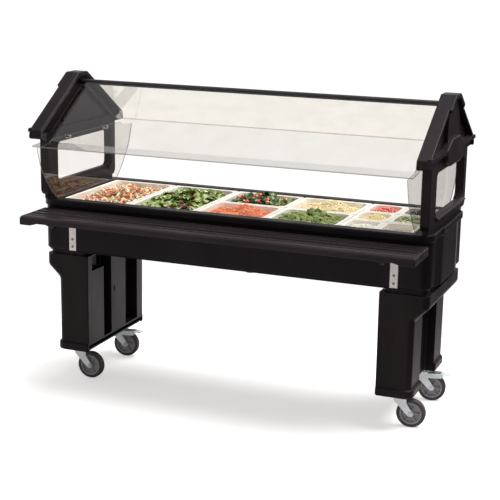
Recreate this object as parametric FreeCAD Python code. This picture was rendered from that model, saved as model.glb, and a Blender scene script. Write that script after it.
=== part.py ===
# Mobile food bar: an insulated, cold-pan tub on two pedestal legs with casters, a fold-down tray
# rail along the customer side, and a two-pane food shield between two house-shaped end panels.
# X runs along the bar, Y from the customer side to the server side, Z up, origin on the floor.
import FreeCAD, Part
import math
import os

Vector = FreeCAD.Vector

os.makedirs("parts", exist_ok=True)

# ---- driving dimensions, mm ----
WALL = 8.0                    # moulded polyethylene wall
PAN_PITCH = 330.0             # one full-size pan per station
STATIONS = 5

BODY_X, BODY_Y = 906.0, 294.0        # half length and half width of the tub's lower walls
BODY_R = 44.0                        # its upright corners
BODY_Z0, DECK_Z = 632.0, 877.0
RIM_X, RIM_Y, RIM_R = 912.0, 316.0, 68.0
RIM_Z0 = 844.0
BLOCK_X, BLOCK_Y = 917.0, 125.0      # outer face and half width of the block on each end wall
BLOCK_FLARE = 70.0                   # its sides run out this far under the rim
WELL_X, WELL_Y, WELL_R = 811.0, 251.0, 30.0
WELL_FLOOR = 694.0
LEDGE_Z = 868.0                      # pan flanges rest here
POCKET_X, POCKET_Y = 825.5, 266.0

RAIL_X = 900.0
RAIL_Y0, RAIL_Y1 = -518.0, -300.0
RAIL_Z0, RAIL_Z1 = 792.0, 832.0
APRON_Z = 803.0                      # lower edge of its front between the two ends
HINGE_Y, HINGE_Z = -312.0, 778.0     # fold-down axis of the tray rail
BRACKET_X = 757.0
BRACKET_W = 34.0

LEG_IN, LEG_OUT, LEG_SHOULDER = 691.0, 845.0, 905.0
LEG_Y = 280.0
LEG_SILL = 186.0                     # lower edge of its inner face, above the foot
LEG_Z0, LEG_Z1 = 158.0, 612.0
NECK = 14.0                          # set-back of the neck between leg and tub

HOUSE_IN, HOUSE_OUT = 862.0, 902.0   # end panel's wall, along X
ROOF_IN, ROOF_OUT = 854.0, 914.0
PILLAR_X = 908.0                     # outer face of the pillar on its gable
FOOT_Z = 892.0                       # under the end panel's posts, above a set-back plinth
HOUSE_Y, EAVE_Y = 325.0, 400.0
APEX_Y, APEX_Z = 40.0, 1425.0
EAVE_Z0, EAVE_Z1 = 1157.0, 1197.0
WINDOW_Y0, WINDOW_Y1 = -228.0, 281.0
WINDOW_Z0, WINDOW_Z1 = 942.0, 1124.0

SHEET = 6.0                          # clear acrylic
GUARD_X = 860.5
BEND_Y, BEND_Z = -370.0, 1148.0      # fold line of the front pane, top face
LIP_Y, LIP_Z = -460.0, 1139.0
GUARD_TOP_Y = -8.0
SLOPE = (APEX_Z - EAVE_Z1) / (EAVE_Y - 8 - APEX_Y)    # of the roof, and of the panes under it
GUARD_TOP_Z = BEND_Z + (GUARD_TOP_Y - BEND_Y) * SLOPE
REAR_EDGE_Y = 333.0
SHIELD_X, SHIELD_T = 838.0, 5.0      # middle plane and thickness of the end shields
SHIELD_Y = 455.0
SHIELD_SCREWS = [(-165.0, 1143.0), (190.0, 1143.0)]

WHEEL_R, WHEEL_W = 63.5, 32.0
TRAIL = 48.0                         # axle behind the swivel axis
CASTER_X, CASTER_Y = 780.0, 181.0
CASTER_HEADINGS = {"front_left": 2.0, "front_right": 5.0, "rear_left": 6.0, "rear_right": 9.0}
AXLE_R = 6.0
RUNNING = 0.06                       # radial clearance of a turning fit

# The tray rail reaches further out than the end shields do, so the tub's middle is set back to
# put the origin under the middle of the whole unit.
SET_BACK = (-RAIL_Y0 - SHIELD_Y) / 2.0


def box(x0, x1, y0, y1, z0, z1):
    lo = Vector(min(x0, x1), min(y0, y1), min(z0, z1))
    return Part.makeBox(abs(x1 - x0), abs(y1 - y0), abs(z1 - z0), lo)


def rod(start, end, radius):
    a, b = Vector(*start), Vector(*end)
    return Part.makeCylinder(radius, (b - a).Length, a, b - a)


def ring(start, end, outer, inner):
    return rod(start, end, outer).cut(rod(start, end, inner))


def hexagon(start, end, across_flats):
    a, b = Vector(*start), Vector(*end)
    along = b - a
    side = along.cross(Vector(0, 0, 1) if abs(along.z) < 0.9 * along.Length else Vector(1, 0, 0))
    side.normalize()
    up = along.cross(side)
    up.normalize()
    r = across_flats / math.sqrt(3)
    turns = [math.radians(60 * k) for k in range(7)]
    loop = [a + side * (r * math.cos(t)) + up * (r * math.sin(t)) for t in turns]
    return Part.Face(Part.makePolygon(loop)).extrude(along)


def outline(corners, lift):
    """Closed wire through corners (u, v, radius); lift places (u, v) in space."""
    count = len(corners)
    points = [Vector(c[0], c[1], 0) for c in corners]
    starts, mids, ends = [], [], []
    for k, corner in enumerate(corners):
        here, before, after = points[k], points[k - 1], points[(k + 1) % count]
        back, on = (before - here).normalize(), (after - here).normalize()
        radius = corner[2] if len(corner) > 2 else 0.0
        if radius <= 0:
            starts.append(here)
            mids.append(None)
            ends.append(here)
            continue
        half = back.getAngle(on) / 2.0
        run = radius / math.tan(half)
        centre = here + (back + on).normalize() * (radius / math.sin(half))
        starts.append(here + back * run)
        ends.append(here + on * run)
        mids.append(centre + (here - centre).normalize() * radius)
    edges = []
    for k in range(count):
        if mids[k] is not None:
            arc = [lift(p.x, p.y) for p in (starts[k], mids[k], ends[k])]
            edges.append(Part.Arc(*arc).toShape())
        a, b = ends[k], starts[(k + 1) % count]
        if (b - a).Length > 1e-6:
            edges.append(Part.LineSegment(lift(a.x, a.y), lift(b.x, b.y)).toShape())
    return Part.Wire(edges)


def half_mirrored(points):
    """Closed YZ outline from its customer-side half, listed from the bottom to the top."""
    return points + [(-p[0],) + tuple(p[1:]) for p in reversed(points)]


def rectangle(x0, x1, y0, y1, radius):
    return [(x0, y0, radius), (x1, y0, radius), (x1, y1, radius), (x0, y1, radius)]


def upright(corners, z0, z1):
    """Prism of an XY outline."""
    wire = outline(corners, lambda u, v: Vector(u, v, z0))
    return Part.Face(wire).extrude(Vector(0, 0, z1 - z0))


def across(corners, x0, x1):
    """Prism of a YZ outline, from x0 to x1."""
    wire = outline(corners, lambda u, v: Vector(x0, u, v))
    return Part.Face(wire).extrude(Vector(x1 - x0, 0, 0))


def along_y(corners, y0, y1):
    """Prism of an XZ outline, from y0 to y1."""
    wire = outline(corners, lambda u, v: Vector(u, y0, v))
    return Part.Face(wire).extrude(Vector(0, y1 - y0, 0))


def taper(low, high, z0, z1):
    """Straight-sided solid between two XY outlines of the same kind."""
    wires = [outline(low, lambda u, v: Vector(u, v, z0)), outline(high, lambda u, v: Vector(u, v, z1))]
    return Part.makeLoft(wires, True, True)


def soften(shape, radius, pick):
    """Round the edges that pick chooses, or leave the shape as it is if they can't be."""
    edges = [e for e in shape.Edges if pick(e)]
    try:
        rounded = shape.makeFillet(radius, edges)
        if rounded.isValid() and rounded.Solids:
            return rounded
    except Exception:
        pass
    print("left sharp:", len(edges), "edges at radius", radius)
    return shape


def flat_at(edge, axis, value):
    box_ = edge.BoundBox
    low, high = {"x": (box_.XMin, box_.XMax), "y": (box_.YMin, box_.YMax), "z": (box_.ZMin, box_.ZMax)}[axis]
    return abs(low - value) < 0.01 and abs(high - value) < 0.01


def soft_upright(corners, z0, z1, radius):
    solid = upright(corners, z0, z1)
    return soften(solid, radius, lambda e: flat_at(e, "z", z0) or flat_at(e, "z", z1))


def mirrored(shape):
    return shape.mirror(Vector(0, 0, 0), Vector(1, 0, 0))


def turned(shape, degrees, x, y):
    copy = shape.copy()
    copy.rotate(Vector(0, 0, 0), Vector(0, 0, 1), degrees)
    copy.translate(Vector(x, y, 0))
    return copy


def fuse(shapes):
    return shapes[0].multiFuse(shapes[1:]).removeSplitter()


def save(node, shape):
    """One STEP file per node, moved so that the origin is under the whole unit."""
    solids = shape.Solids
    placed = solids[0] if len(solids) == 1 else Part.makeCompound(solids)
    placed = placed.copy()
    placed.translate(Vector(0, SET_BACK, 0))
    if not solids or not all(s.isValid() for s in solids):
        print("PROBLEM:", node)
    placed.exportStep("parts/" + node + ".step")


# ---- insulated tub ----
LEG_BOLTS = [(x, y) for x in (790.0, 862.0) for y in (-232.0, 232.0)]
TENON_Y = (65.0, 112.0)              # each end panel plugs in with two tenons
TENON_Z0 = 837.0
TENON_X = (HOUSE_IN + 10.0, HOUSE_OUT - 10.0)
BUTTON = 3.4                         # depth of the recess for a bolt's button head
PORT_X = 420.0                       # foam filling ports in the tub's underside
PORT_R = 16.0
DRAIN_R = 16.0
BAR_X = [-495.0, -165.0, 165.0, 495.0, 660.0]
BAR_HALF, BAR_T = 8.0, 3.0
PLATE_SCREW_Z = (752.0, 694.0, 660.0)


def tub_outer():
    foot = rectangle(-BODY_X + 12, BODY_X - 12, -BODY_Y + 12, BODY_Y - 12, BODY_R - 12)
    wall = rectangle(-BODY_X, BODY_X, -BODY_Y, BODY_Y, BODY_R)
    rim = rectangle(-RIM_X, RIM_X, -RIM_Y, RIM_Y, RIM_R)
    pieces = [taper(foot, wall, BODY_Z0, BODY_Z0 + 14), upright(wall, BODY_Z0 + 14, DECK_Z - 8),
              soft_upright(rim, RIM_Z0, DECK_Z, 7.0)]
    for side in (-1, 1):
        block = rectangle(side * (BODY_X - 60), side * BLOCK_X, -BLOCK_Y, BLOCK_Y, 10.0)
        pieces.append(soft_upright(block, RIM_Z0, DECK_Z, 4.0))
        reach = BLOCK_Y + BLOCK_FLARE
        swell = [(side * (BODY_X - 60), -reach), (side * BODY_X, -reach), (side * BLOCK_X, -BLOCK_Y, 90),
                 (side * BLOCK_X, BLOCK_Y, 90), (side * BODY_X, reach), (side * (BODY_X - 60), reach)]
        pieces.append(upright(swell, BODY_Z0 + 4, RIM_Z0 + 4))
    return fuse(pieces)


def tub_bosses(grow):
    """Solid places inside the double wall: leg bolts, drain, filling ports and tenon pockets."""
    bosses = [rod((sx * x, y, BODY_Z0), (sx * x, y, BODY_Z0 + 34), 15 + grow)
              for sx in (-1, 1) for x, y in LEG_BOLTS]
    bosses.append(rod((0, 0, BODY_Z0), (0, 0, WELL_FLOOR), 30 + grow))
    for side in (-1, 1):
        for mid in TENON_Y:
            for sy in (-1, 1):
                bosses.append(box(side * (TENON_X[0] - WALL), side * BLOCK_X,
                                  sy * (mid - 26 - grow), sy * (mid + 26 + grow), TENON_Z0 - WALL, DECK_Z))
    return bosses


def tub_cavity():
    inner = rectangle(-BODY_X + WALL, BODY_X - WALL, -BODY_Y + WALL, BODY_Y - WALL, BODY_R - WALL)
    lip = rectangle(-RIM_X + WALL, RIM_X - WALL, -RIM_Y + WALL, RIM_Y - WALL, RIM_R - WALL)
    room = upright(inner, BODY_Z0 + WALL, DECK_Z - WALL)
    room = room.fuse(upright(lip, RIM_Z0 + WALL, DECK_Z - WALL))
    liner = rectangle(-WELL_X - WALL, WELL_X + WALL, -WELL_Y - WALL, WELL_Y + WALL, WELL_R + WALL)
    shelf = rectangle(-POCKET_X - WALL, POCKET_X + WALL, -POCKET_Y - WALL, POCKET_Y + WALL, 12 + WALL)
    room = room.cut(upright(liner, WELL_FLOOR - WALL, DECK_Z))
    room = room.cut(upright(shelf, LEDGE_Z - WALL - BAR_T, DECK_Z))
    return room.cut(Part.makeCompound(tub_bosses(0.0)))


def tub_holes():
    well = taper(rectangle(-WELL_X + 10, WELL_X - 10, -WELL_Y + 10, WELL_Y - 10, WELL_R - 10),
                 rectangle(-WELL_X, WELL_X, -WELL_Y, WELL_Y, WELL_R), WELL_FLOOR, DECK_Z + 1)
    pocket = upright(rectangle(-POCKET_X, POCKET_X, -POCKET_Y, POCKET_Y, 12.0), LEDGE_Z, DECK_Z + 1)
    holes = [well, pocket, rod((0, 0, BODY_Z0 - 1), (0, 0, WELL_FLOOR + 1), DRAIN_R + 0.5)]
    holes.append(rod((0, 0, WELL_FLOOR - 4), (0, 0, WELL_FLOOR + 1), 26.0))
    for x in BAR_X:
        holes.append(box(x - BAR_HALF - 0.5, x + BAR_HALF + 0.5, -POCKET_Y + 3, POCKET_Y - 3,
                         LEDGE_Z - BAR_T, LEDGE_Z + 1))
    for sx in (-1, 1):
        holes.append(rod((sx * PORT_X, 0, BODY_Z0 - 1), (sx * PORT_X, 0, BODY_Z0 + WALL + 1), PORT_R))
        for z in PLATE_SCREW_Z:
            holes.append(rod((sx * BRACKET_X, -BODY_Y - 1, z), (sx * BRACKET_X, -BODY_Y + 6, z), 2.5))
        for x, y in LEG_BOLTS:
            holes.append(rod((sx * x, y, BODY_Z0 - 1), (sx * x, y, BODY_Z0 + 25), 5.0))
        for mid in TENON_Y:
            for sy in (-1, 1):
                holes.append(box(sx * (TENON_X[0] - 0.3), sx * (TENON_X[1] + 0.3),
                                 sy * (mid - 18.3), sy * (mid + 18.3), TENON_Z0, DECK_Z + 1))
                holes.append(rod((sx * (TENON_X[1] - 1), sy * mid, TENON_Z0 + 16),
                                 (sx * (BLOCK_X + 1), sy * mid, TENON_Z0 + 16), 4.0))
                holes.append(rod((sx * (BLOCK_X - BUTTON), sy * mid, TENON_Z0 + 16),
                                 (sx * (BLOCK_X + 1), sy * mid, TENON_Z0 + 16), 8.2))
    return holes


def make_tub():
    cavity = tub_cavity()
    shell = tub_outer().cut(cavity).cut(Part.makeCompound(tub_holes()))
    save("body_shell", shell)
    save("foam_core", cavity)
    plugs = []
    for sx in (-1, 1):
        stem = rod((sx * PORT_X, 0, BODY_Z0), (sx * PORT_X, 0, BODY_Z0 + WALL), PORT_R)
        plugs.append(stem.fuse(rod((sx * PORT_X, 0, BODY_Z0 - 3), (sx * PORT_X, 0, BODY_Z0), PORT_R + 5)))
    save("foam_port_plugs", Part.makeCompound(plugs))
    bars = [box(x - BAR_HALF, x + BAR_HALF, -POCKET_Y + 3.5, POCKET_Y - 3.5, LEDGE_Z - BAR_T, LEDGE_Z)
            for x in BAR_X]
    save("pan_divider_bars", Part.makeCompound(bars))


# ---- drain of the well ----
VALVE_Z = 596.0
SOCKET_R, SOCKET_DEPTH = 12.5, 20.0


def make_drain():
    bore = 10.0
    low = VALVE_Z + 17
    outlet = VALVE_Z - 40                # the open end, where a hose tail pushes in
    fitting = rod((0, 0, low), (0, 0, WELL_FLOOR - 1), DRAIN_R)
    fitting = fitting.fuse(rod((0, 0, WELL_FLOOR - 4), (0, 0, WELL_FLOOR - 1), 25.0))
    save("drain_fitting", fitting.cut(rod((0, 0, low - 1), (0, 0, WELL_FLOOR), bore)))
    nut = hexagon((0, 0, BODY_Z0 - 11), (0, 0, BODY_Z0), 44.0)
    save("drain_locknut", nut.cut(rod((0, 0, BODY_Z0 - 12), (0, 0, BODY_Z0 + 1), DRAIN_R)))
    housing = rod((0, 0, outlet), (0, 0, VALVE_Z + 17), 20.0)
    housing = housing.fuse(rod((0, 0, VALVE_Z), (0, -26, VALVE_Z), 9.0))
    housing = housing.cut(rod((0, 0, outlet - 1), (0, 0, outlet + SOCKET_DEPTH), SOCKET_R))
    housing = housing.cut(rod((0, 0, outlet), (0, 0, VALVE_Z + 18), bore))
    housing = housing.cut(Part.makeSphere(15.3, Vector(0, 0, VALVE_Z)))
    save("drain_valve_body", housing.cut(rod((0, 0, VALVE_Z), (0, -27, VALVE_Z), 4.0 + RUNNING)))
    ball = Part.makeSphere(15.0, Vector(0, 0, VALVE_Z))
    ball = ball.cut(rod((-16, 0, VALVE_Z), (16, 0, VALVE_Z), bore - 1))
    save("drain_valve_ball", ball.cut(box(-4, 4, -16, -12, VALVE_Z - 2, VALVE_Z + 2)))
    stem = rod((0, -15.3, VALVE_Z), (0, -34, VALVE_Z), 4.0)
    stem = stem.fuse(box(-3.4, 3.4, -15.4, -12, VALVE_Z - 1.9, VALVE_Z + 1.9))
    grip = along_y([(-9, VALVE_Z + 9, 8), (-9, VALVE_Z - 9, 8), (82, VALVE_Z - 7, 6), (82, VALVE_Z + 7, 6)],
                   -34, -29)
    save("drain_valve_lever", stem.fuse(grip))


# ---- food pans ----
FLANGE_Z = 871.0
FLANGE_T = 3.0
PAN_DEPTH = 100.0
PAN_GAP = 2.5                        # half the space between neighbouring flanges


def make_pan(node, x, y, length_x, length_y):
    """Flanged pan with sloping walls; length_x and length_y are over the flange."""
    hx, hy = length_x / 2.0, length_y / 2.0
    brim = 14.0                      # flange width
    slope = 9.0
    wall = 2.6

    def ring_at(inset, radius):
        return rectangle(x - hx + inset, x + hx - inset, y - hy + inset, y + hy - inset, radius)

    flange = upright(ring_at(0, 10), FLANGE_Z - FLANGE_T, FLANGE_Z)
    bead = upright(ring_at(0, 10), FLANGE_Z, FLANGE_Z + 1.6).cut(
        upright(ring_at(3.5, 7), FLANGE_Z, FLANGE_Z + 1.6))
    floor = FLANGE_Z - PAN_DEPTH
    bowl = taper(ring_at(brim + slope, 24), ring_at(brim, 30), floor, FLANGE_Z - FLANGE_T)
    room = taper(ring_at(brim + slope + wall, 22), ring_at(brim + wall, 28), floor + wall, FLANGE_Z)
    save(node, fuse([flange, bowl, bead]).cut(room))


def make_pans():
    full_x = PAN_PITCH - 2 * PAN_GAP
    full_y = 2 * POCKET_Y - 5.0
    for number in (1, 2):
        make_pan("full_pan_%d" % number, (number - 3) * PAN_PITCH, 0, full_x, full_y)
    for number in (3, 4):
        for name, side in (("front", -1), ("rear", 1)):
            make_pan("half_pan_%d_%s" % (number, name), (number - 3) * PAN_PITCH, side * full_y / 4,
                     full_x, full_y / 2 - 1)
    for name, side in (("left", -1), ("right", 1)):
        for row, step in (("front", -1), ("middle", 0), ("rear", 1)):
            make_pan("sixth_pan_%s_%s" % (row, name), 2 * PAN_PITCH + side * full_x / 4,
                     step * full_y / 3, full_x / 2 - 1, full_y / 3 - 1)


# ---- pedestal legs ----
CHANNELS = [(-126.0, -50.0), (94.0, 218.0)]      # deep upright channels of the inner face
CHANNEL_DEPTH = 62.0
NOTCH_Y = (-238.0, -124.0)                       # shallow notch beside the front channel, at its top
NOTCH_DEPTH, NOTCH_Z = 40.0, 537.0
RECESS_Y = 128.0                                 # half width of the outer face's recess
RECESS_X = 800.0


def make_right_leg():
    profile = [(LEG_IN, LEG_Z0), (LEG_OUT, LEG_Z0), (LEG_OUT, 500, 26), (LEG_SHOULDER, 556, 30),
               (LEG_SHOULDER, LEG_Z1), (LEG_IN, LEG_Z1)]
    block = along_y(profile, -LEG_Y, LEG_Y)

    def outer_corner(edge):
        side = flat_at(edge, "y", -LEG_Y) or flat_at(edge, "y", LEG_Y)
        box_ = edge.BoundBox
        level = box_.ZMax - box_.ZMin < 0.01
        return side and not level and box_.XMin > LEG_IN + 1

    block = soften(block, 28.0, outer_corner)
    block = soften(block, 6.0, lambda e: flat_at(e, "x", LEG_IN) and e.BoundBox.ZLength > 100)
    foot = [(LEG_IN + 0.5, -LEG_Y - 11, 12), (LEG_OUT + 10, -LEG_Y - 11, 42),
            (LEG_OUT + 10, LEG_Y + 11, 42), (LEG_IN + 0.5, LEG_Y + 11, 12)]
    bumper = soft_upright(foot, LEG_Z0, LEG_Z0 + 38, 8.0)
    neck = upright(rectangle(LEG_IN + NECK, LEG_SHOULDER - NECK, -LEG_Y + NECK, LEG_Y - NECK, 24),
                   LEG_Z1 - 2, BODY_Z0)
    leg = fuse([block, bumper, neck])

    def grooves(grow, top):
        cuts = []
        for y0, y1 in CHANNELS:
            shape = rectangle(LEG_IN - 10, LEG_IN + CHANNEL_DEPTH + grow, y0 - grow, y1 + grow, 9.0)
            cuts.append(upright(shape, LEG_SILL + WALL - grow, top))
        cuts.append(box(LEG_IN - 10, LEG_IN + NOTCH_DEPTH + grow, NOTCH_Y[0] - grow, NOTCH_Y[1],
                        NOTCH_Z - grow, top))
        shape = rectangle(RECESS_X - grow, LEG_SHOULDER + 10, -RECESS_Y - grow, RECESS_Y + grow, 10.0)
        cuts.append(upright(shape, LEG_Z0 - 1, 520 + grow))
        return cuts

    room_profile = [(LEG_IN + WALL, LEG_Z0 - 1), (LEG_OUT - WALL, LEG_Z0 - 1), (LEG_OUT - WALL, 504, 30),
                    (LEG_SHOULDER - WALL, 559, 24), (LEG_SHOULDER - WALL, LEG_Z1 - WALL),
                    (LEG_IN + WALL, LEG_Z1 - WALL)]
    room = along_y(room_profile, -LEG_Y + 3 * WALL, LEG_Y - 3 * WALL)
    slim = rectangle(LEG_IN + WALL, LEG_OUT - 3 * WALL, -LEG_Y + WALL, LEG_Y - WALL, 6.0)
    room = room.fuse(upright(slim, LEG_Z0 - 1, LEG_Z1 - WALL))
    room = room.cut(Part.makeCompound(grooves(WALL, LEG_Z1)))
    leg = leg.cut(Part.makeCompound(grooves(0.0, LEG_Z1 - 6))).cut(room)
    slot = box(LEG_IN - 1, LEG_IN + WALL + 1, -26, -16, 389, 419)
    under = box(LEG_IN - 1, LEG_IN + WALL + 0.5, -LEG_Y + WALL, LEG_Y - WALL, LEG_Z0 - 1, LEG_SILL)
    leg = leg.cut(slot).cut(under)
    for x, y in LEG_BOLTS:
        leg = leg.cut(rod((x, y, LEG_Z1 - WALL - 1), (x, y, BODY_Z0 + 1), 5.3))
    return leg


def make_legs():
    right = make_right_leg()
    save("right_leg", right)
    save("left_leg", mirrored(right))
    inner_x, top = LEG_IN + WALL + 1, LEG_Z0 + 6
    wide = rectangle(inner_x, LEG_OUT - WALL - 1, -LEG_Y + 3 * WALL + 1, LEG_Y - 3 * WALL - 1, 4)
    deep = rectangle(inner_x, LEG_OUT - 3 * WALL - 1, -LEG_Y + WALL + 1, LEG_Y - WALL - 1, 8)
    plate = upright(wide, LEG_Z0, top).fuse(upright(deep, LEG_Z0, top)).removeSplitter()
    plate = plate.cut(box(RECESS_X - WALL - 1, LEG_SHOULDER, -RECESS_Y - WALL - 1, RECESS_Y + WALL + 1,
                          LEG_Z0 - 1, top + 1))
    plates = []
    for side in (-1, 1):
        drilled = plate if side > 0 else mirrored(plate)
        for y in (-CASTER_Y, CASTER_Y):
            for dx, dy in PLATE_HOLES:
                centre = (side * CASTER_X + dx, y + dy)
                drilled = drilled.cut(rod((*centre, LEG_Z0 - 1), (*centre, LEG_Z0 + 7), 4.3))
        plates.append(drilled)
    save("leg_base_plates", Part.makeCompound(plates))
    bolts = []
    for side in (-1, 1):
        for x, y in LEG_BOLTS:
            shank = rod((side * x, y, LEG_Z1 - WALL), (side * x, y, BODY_Z0 + 24), 5.0)
            head = hexagon((side * x, y, LEG_Z1 - WALL - 6.4), (side * x, y, LEG_Z1 - WALL), 16.0)
            bolts.append(shank.fuse(head))
    save("leg_bolts", Part.makeCompound(bolts))


# ---- casters ----
PLATE_HOLES = [(dx, dy) for dx in (-37.0, 37.0) for dy in (-28.0, 28.0)]
PLATE_T = 4.0
RACE_Z = 140.0
PEDAL_X, PEDAL_Z = 92.0, 124.0


def make_fork(braked):
    """Fork in its own frame: swivel axis at the origin, wheel trailing towards +X."""
    inner = WHEEL_W / 2 + 4.0
    cheek = [(-27, 139, 4), (-27, 120, 8), (TRAIL - 15, WHEEL_R - 6, 12), (TRAIL + 2, WHEEL_R - 16, 12),
             (TRAIL + 14, WHEEL_R - 2, 10), (30, 108, 10), (28, 139, 4)]
    sides = [along_y(cheek, s * inner, s * (inner + 3.0)) for s in (-1, 1)]
    crown = rod((0, 0, 134.5), (0, 0, 139), 30.0).fuse(box(-27, 27, -inner - 3, inner + 3, 134.5, 139))
    pieces = sides + [crown]
    if braked:
        arm = [(20, 132, 4), (20, 110, 4), (88, 112, 8), (102, 122, 6), (96, 133, 4)]
        pieces += [along_y(arm, s * inner, s * (inner + 3.0)) for s in (-1, 1)]
    fork = fuse(pieces)
    fork = fork.cut(rod((TRAIL, -40, WHEEL_R), (TRAIL, 40, WHEEL_R), AXLE_R + 0.02))
    fork = fork.cut(rod((0, 0, 130), (0, 0, 141), 7.0))
    if braked:
        fork = fork.cut(rod((PEDAL_X, -40, PEDAL_Z), (PEDAL_X, 40, PEDAL_Z), 3.0 + RUNNING))
    return fork


def make_hub():
    half = WHEEL_W / 2
    hub = ring((TRAIL, -half + 1, WHEEL_R), (TRAIL, half - 1, WHEEL_R), WHEEL_R - 15, WHEEL_R - 22)
    web = ring((TRAIL, -5, WHEEL_R), (TRAIL, 5, WHEEL_R), WHEEL_R - 20, 12)
    boss = rod((TRAIL, -half - 2.5, WHEEL_R), (TRAIL, half + 2.5, WHEEL_R), 15.0)
    hub = fuse([hub, web, boss])
    for k in range(6):
        t = math.radians(60 * k)
        spoke = box(13, WHEEL_R - 20, -2.5, 2.5, -half + 4, half - 4)
        spoke.rotate(Vector(0, 0, 0), Vector(1, 0, 0), 90)
        spoke.rotate(Vector(0, 0, 0), Vector(0, 1, 0), math.degrees(t))
        spoke.translate(Vector(TRAIL, 0, WHEEL_R))
        hub = hub.fuse(spoke)
    bore = rod((TRAIL, -30, WHEEL_R), (TRAIL, 30, WHEEL_R), AXLE_R + RUNNING)
    return hub.removeSplitter().cut(bore)


def make_tyre():
    half = WHEEL_W / 2
    inner = WHEEL_R - 15
    section = [(TRAIL + inner, -half), (TRAIL + WHEEL_R, -half, 7), (TRAIL + WHEEL_R, half, 7),
               (TRAIL + inner, half)]
    wire = outline(section, lambda u, v: Vector(u, v, WHEEL_R))
    return Part.Face(wire).revolve(Vector(TRAIL, 0, WHEEL_R), Vector(0, 1, 0), 360)


def make_axle():
    reach = WHEEL_W / 2 + 7.0
    pin = rod((TRAIL, -reach - 6, WHEEL_R), (TRAIL, reach + 7, WHEEL_R), AXLE_R)
    head = hexagon((TRAIL, -reach - 6, WHEEL_R), (TRAIL, -reach, WHEEL_R), 18.0)
    nut = hexagon((TRAIL, reach, WHEEL_R), (TRAIL, reach + 7, WHEEL_R), 18.0)
    return fuse([pin, head, nut])


def make_pedal():
    """Brake pedal with a cam that swings down onto the tyre."""
    inner = WHEEL_W / 2 + 3.4
    pin = rod((PEDAL_X, -inner - 5.5, PEDAL_Z), (PEDAL_X, inner + 5.5, PEDAL_Z), 3.0)
    tube = rod((PEDAL_X, -inner, PEDAL_Z), (PEDAL_X, inner, PEDAL_Z), 6.0)
    blade = along_y([(PEDAL_X - 2, PEDAL_Z + 6, 1), (PEDAL_X, PEDAL_Z + 2, 1),
                     (PEDAL_X + 16, PEDAL_Z + 5, 6),
                     (PEDAL_X + 37, PEDAL_Z, 2), (PEDAL_X + 38, PEDAL_Z + 4, 1),
                     (PEDAL_X + 16, PEDAL_Z + 10, 6)], -inner, inner)
    aim = math.radians(108.0)
    tip = (PEDAL_X + 7.2 * math.cos(aim), PEDAL_Z - 7.2 * math.sin(aim))
    cam = rod((tip[0], -inner + 4, tip[1]), (tip[0], inner - 4, tip[1]), 3.0)
    return fuse([pin, tube, blade, cam])


def make_casters():
    plates, bolts = [], []
    for name, heading in CASTER_HEADINGS.items():
        x = CASTER_X if name.endswith("right") else -CASTER_X
        y = CASTER_Y if name.startswith("rear") else -CASTER_Y
        braked = name.startswith("rear")
        save("caster_fork_" + name, turned(make_fork(braked), heading, x, y))
        save("caster_hub_" + name, turned(make_hub(), heading, x, y))
        save("caster_tyre_" + name, turned(make_tyre(), heading, x, y))
        save("caster_axle_" + name, turned(make_axle(), heading, x, y))
        if braked:
            save("brake_pedal_" + name, turned(make_pedal(), heading, x, y))
        plate = soft_upright(rectangle(-47, 47, -38, 38, 8), LEG_Z0 - PLATE_T, LEG_Z0, 1.0)
        race = Part.makeCone(24, 31, LEG_Z0 - PLATE_T - RACE_Z, Vector(0, 0, RACE_Z))
        race = race.fuse(rod((0, 0, RACE_Z - 12), (0, 0, RACE_Z), 6.9)).fuse(
            rod((0, 0, RACE_Z - 12), (0, 0, RACE_Z - 6), 10.0))
        plate = plate.fuse(race)
        for dx, dy in PLATE_HOLES:
            plate = plate.cut(rod((dx, dy, LEG_Z0 - PLATE_T - 1), (dx, dy, LEG_Z0 + 1), 4.3))
            shank = rod((dx, dy, LEG_Z0 - PLATE_T - 5), (dx, dy, LEG_Z0 + 12), 4.0)
            head = hexagon((dx, dy, LEG_Z0 - PLATE_T - 5), (dx, dy, LEG_Z0 - PLATE_T), 13.0)
            nut = hexagon((dx, dy, LEG_Z0 + 6), (dx, dy, LEG_Z0 + 12), 13.0)
            bolts.append(turned(fuse([shank, head, nut]), 0, x, y))
        plates.append(turned(plate, 0, x, y))
    save("caster_top_plates", Part.makeCompound(plates))
    save("caster_bolts", Part.makeCompound(bolts))


# ---- house-shaped end panels ----
BAR_BOLT_Z = GUARD_TOP_Z + 1.0
# From the roof's face in to the rib under the panes, square to the slope.
PANE_DROP = SHEET + (APEX_Z - BEND_Z - (-BEND_Y - APEX_Y) * SLOPE) / math.hypot(1, SLOPE)


def roof_line(drop):
    """Half outline of the gable, moved in by drop: eave corner and apex corner."""
    lower = drop * math.sqrt(1 + SLOPE * SLOPE)
    eave = (EAVE_Y - 8 - drop * 0.3, EAVE_Z1 + (drop * 0.3) * SLOPE - lower)
    apex_y = APEX_Y - drop * 0.3
    return eave, (apex_y, APEX_Z + (APEX_Y - apex_y) * SLOPE - lower)


def gable(drop, bottom, radius):
    """Gable outline set in from the roof by drop, with a level bottom."""
    eave, apex = roof_line(drop)
    if bottom > eave[1] - 2:
        foot = eave[0] - (bottom - eave[1]) / SLOPE
        return half_mirrored([(-foot, bottom, radius), (-apex[0], apex[1], radius)])
    return half_mirrored([(-eave[0], bottom, radius), (-eave[0], eave[1], radius),
                          (-apex[0], apex[1], radius)])


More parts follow.
